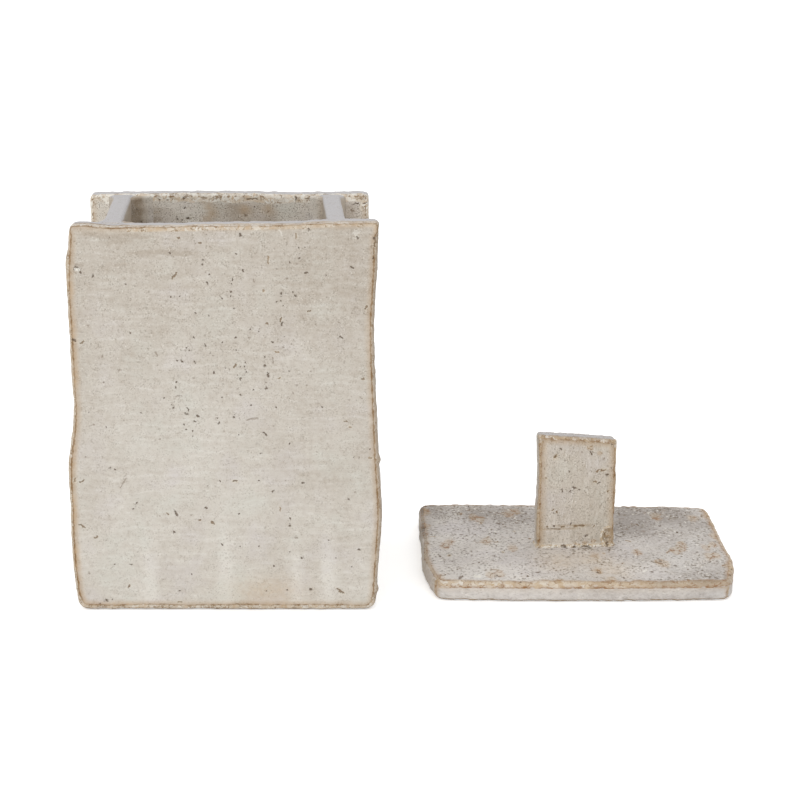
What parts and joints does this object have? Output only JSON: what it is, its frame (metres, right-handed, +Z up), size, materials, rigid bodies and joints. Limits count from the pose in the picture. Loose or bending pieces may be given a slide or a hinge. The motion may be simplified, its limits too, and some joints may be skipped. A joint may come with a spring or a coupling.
{
  "type": "lidded slab-built ceramic box",
  "caption": "Hand-built stoneware box with overlapping front and back slabs, beside its flat lid with an upright slab knob.",
  "frame": {"origin": "the middle of the underside of the box, on the surface it stands on", "axes": "+Z up, +X to the right from the box to the lid beside it, the box's front slab faces -Y"},
  "size_m": [0.2744, 0.116, 0.1555],
  "materials": {
    "outer_glaze": "satin",
    "inner_glaze": "matte",
    "lid_glaze": "satin"
  },
  "bodies": {
    "box": {"front_slab": "outer_glaze", "back_slab": "outer_glaze", "left_wall": "outer_glaze", "right_wall": "outer_glaze", "floor_slab": "inner_glaze", "front_left_roll": "inner_glaze", "front_right_roll": "inner_glaze", "back_left_roll": "inner_glaze", "back_right_roll": "inner_glaze", "floor_front_roll": "inner_glaze", "floor_back_roll": "inner_glaze", "floor_left_roll": "inner_glaze", "floor_right_roll": "inner_glaze"},
    "lid": {"lid_slab": "lid_glaze", "lid_knob": "lid_glaze"}
  },
  "joints": [
    {"name": "lid_lift", "type": "slide", "parent": "box", "child": "lid", "axis": [0, 0, 1], "range_m": [0, 0.2]}
  ]
}
